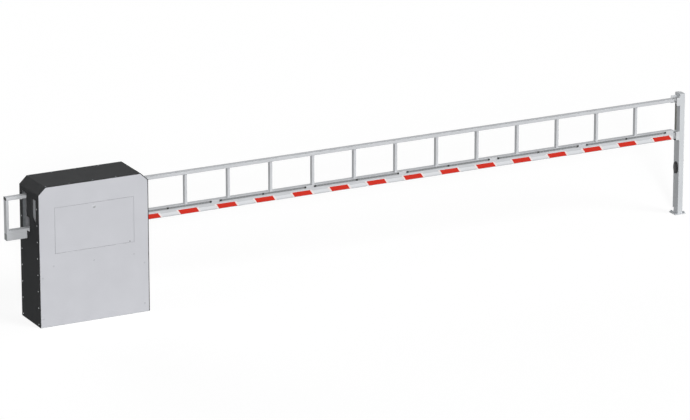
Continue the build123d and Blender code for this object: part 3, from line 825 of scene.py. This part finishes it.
def slot_outline(x):
    """The boom slot's outline: a tall rectangle with its step drawn out of the front edge."""
    face = opening_face("slot_outline", x, slot_front, slot_back, slot_low, slot_top)
    open_edit(face, "FACE", any_part)
    for z in (step_low, step_top):
        bpy.ops.mesh.select_all(action="SELECT")
        bpy.ops.mesh.bisect(plane_co=(0, 0, z), plane_no=UP)
    leave_edit()
    open_edit(face, "EDGE", lambda e: all(abs(v.co.y - slot_front) < MM and step_low - MM < v.co.z
                                          < step_top + MM for v in e.verts))
    move = {"value": (0, step_front - slot_front, 0)}
    bpy.ops.mesh.extrude_region_move(TRANSFORM_OT_translate=move)
    bpy.ops.mesh.select_all(action="SELECT")
    bpy.ops.mesh.dissolve_limited(angle_limit=math.radians(1))
    leave_edit()
    return face


def window_outline(x):
    """The window's outline: a tall rectangle with its rear lower corner cut away."""
    cut_across = 60 * MM
    cut_up = 48 * MM
    face = opening_face("window_outline", x, window_front, window_back, window_low, window_top)
    open_edit(face, "FACE", any_part)
    corner = (x, window_back, window_low + cut_up)
    bpy.ops.mesh.bisect(plane_co=corner, plane_no=(0, cut_up, -cut_across), clear_outer=True)
    leave_edit()
    return face


def trim_along(face, name, depth):
    """A black rubber trim inside an outline, drawn out along X from its outer edge; its black partly stands
    in for shade.
    """
    outer = face.data.vertices[0].co.x
    open_edit(face, "FACE", any_part)
    bpy.ops.mesh.inset(thickness=trim_width)
    bpy.ops.mesh.delete(type="FACE")
    bpy.ops.mesh.select_all(action="SELECT")
    bpy.ops.mesh.extrude_region_move(TRANSFORM_OT_translate={"value": (depth, 0, 0)})
    bpy.ops.mesh.select_all(action="SELECT")
    bpy.ops.mesh.normals_make_consistent(inside=False)
    leave_edit()
    bevel_edges(face, lambda e: all(abs(v.co.x - outer) < MM / 10 for v in e.verts), 0.5 * MM)
    face.name = name
    face.data.name = name
    fit_out(face, "housing", rubber)


trim_along(slot_outline(cabinet_left - trim_stand), "left_slot_trim", trim_depth)
trim_along(slot_outline(cabinet_right + trim_stand), "right_slot_trim", -trim_depth)
trim_along(window_outline(cabinet_left - trim_stand), "window_trim", trim_depth)


# Catch post


def catch_buffers():
    """Rounded grey rubber buffers in both pockets, against the web."""
    rail_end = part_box("rail_end_caps")[1].x
    running_gap = 6 * MM
    left = rail_end + running_gap
    right = side_strip_right - catch_web
    half = 18 * MM
    middle = (top_rail_low.y + top_rail_high.y) / 2
    blocks = []
    for low, high in ((top_rail_low.z, top_rail_high.z), (beam_low.z, beam_high.z)):
        block = add_block("buffer", (left, middle - half, low + MM), (right, middle + half, high - MM))
        open_edit(block, "EDGE", lambda e: abs((e.verts[0].co - e.verts[1].co).normalized().x) > 0.9)
        bpy.ops.mesh.bevel(offset=4 * MM, segments=3)
        leave_edit()
        inset_steps(block, facing(LEFTWARD), [(1.5 * MM, 0)])
        blocks.append(block)
    buffers = joined(blocks, "catch_buffers")
    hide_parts("catch_pads")
    fit_out(buffers, "housing", buffer_rubber)


def catch_rest_pad():
    """The black pad just below the end of the beam, with its top edges rounded; its black also stands in for
    the shade under the beam's end.
    """
    thick = 7 * MM
    length = 41 * MM
    right = side_strip_right - catch_web
    low = (right - length, pads_low.y, pads_low.z)
    pad = add_block("catch_rest_pad", low, (right, pads_high.y, pads_low.z + thick))
    bevel_edges(pad, lambda e: all(v.co.z > pads_low.z + thick / 2 for v in e.verts), 2 * MM)
    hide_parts("catch_pads")
    fit_out(pad, "housing", rubber)


def oval_lens():
    """The raised oval in the middle of the black cover."""
    centre = (cover_low + cover_high) / 2
    height = 1.8 * MM
    half_tall = 50 * MM
    half_wide = 26 * MM
    lens = add_disc("oval_lens", 1.0, height, sides=48)
    lens.data.transform(Matrix.Diagonal((half_tall, half_wide, 1, 1)))
    inset_steps(lens, facing(UP), [(3 * MM, 1.0 * MM)])
    lens.data.transform(Matrix.Rotation(math.radians(-90), 4, "Y"))
    lens.data.transform(Matrix.Translation((cover_low.x, centre.y, centre.z)))
    fit_out(lens, "housing", dark_lens)


catch_buffers()
catch_rest_pad()
oval_lens()


# Floor, light and camera


def seen_rays(tree):
    """One for rays from the camera or from a mirror or glass surface, so that they all see white."""
    rays = add(tree, "ShaderNodeLightPath")
    seen = rays.outputs["Is Camera Ray"]
    for kind in ("Is Glossy Ray", "Is Transmission Ray"):
        seen = add(tree, "ShaderNodeMath", {0: seen, 1: rays.outputs[kind]}, operation="MAXIMUM").outputs[0]
    return seen


def pale_floor():
    """A plain pale floor that the camera sees as white, apart from the object's faint shadow."""
    reach = 120
    level = 0.22
    seen_glow = 0.86
    deselect()
    bpy.ops.mesh.primitive_circle_add(vertices=64, radius=reach, fill_type="NGON", location=(3, 0, 0))
    floor = settle(named("floor"))
    material, tree, shader = start_material("pale_floor", Roughness=1.0, Specular_IOR_Level=0.0)
    shader.inputs["Base Color"].default_value = (level, level, level, 1)
    glow = add(tree, "ShaderNodeMath", {0: seen_rays(tree), 1: seen_glow}, operation="MULTIPLY")
    shader.inputs["Emission Color"].default_value = (1, 1, 1, 1)
    tree.links.new(glow.outputs[0], shader.inputs["Emission Strength"])
    floor.data.materials.append(material)


def soft_lamp(name, azimuth, elevation, level, spread):
    """A wide soft lamp; azimuth 0 stands in front, and level 1 renders a colour as it is written."""
    deselect()
    bpy.ops.object.light_add(type="SUN")
    lamp = bpy.context.active_object
    lamp.name = name
    lamp.data.energy = level * math.pi
    lamp.data.angle = math.radians(spread)
    a, e = math.radians(azimuth), math.radians(elevation)
    place = Vector((math.sin(a) * math.cos(e), -math.cos(a) * math.cos(e), math.sin(e)))
    lamp.rotation_euler = place.to_track_quat("Z", "Y").to_euler()


def pale_surround():
    """An even pale surround: white to the camera and in reflections, dimmer as light."""
    as_light = 0.12
    world = bpy.data.worlds.new("pale_surround")
    bpy.context.scene.world = world
    world.use_nodes = True
    tree = world.node_tree
    back = tree.nodes["Background"]
    back.inputs["Color"].default_value = (1, 1, 1, 1)
    level = add(tree, "ShaderNodeMapRange", {"Value": seen_rays(tree), "To Min": as_light})
    tree.links.new(level.outputs[0], back.inputs["Strength"])


def photo_camera():
    """The camera at the photograph's viewing angle."""
    deselect()
    stand = (-16.0991, -36.4374, 13.4942)
    pitch_down = 17.424
    yaw = 27.338
    long_lens = 233.06
    turn = (math.radians(90 - pitch_down), 0, math.radians(-yaw))
    bpy.ops.object.camera_add(location=stand, rotation=turn)
    camera = bpy.context.active_object
    camera.name = "photo_camera"
    camera.data.lens = long_lens
    camera.data.sensor_width = 36
    camera.data.clip_end = 400
    bpy.context.scene.camera = camera


pale_floor()
soft_lamp("soft_key", azimuth=35, elevation=35, level=0.42, spread=30)
soft_lamp("soft_fill", azimuth=-23, elevation=17, level=0.68, spread=8)
soft_lamp("soft_back", azimuth=180, elevation=4, level=0.6, spread=40)
pale_surround()
photo_camera()
bpy.context.scene.view_settings.view_transform = "Standard"
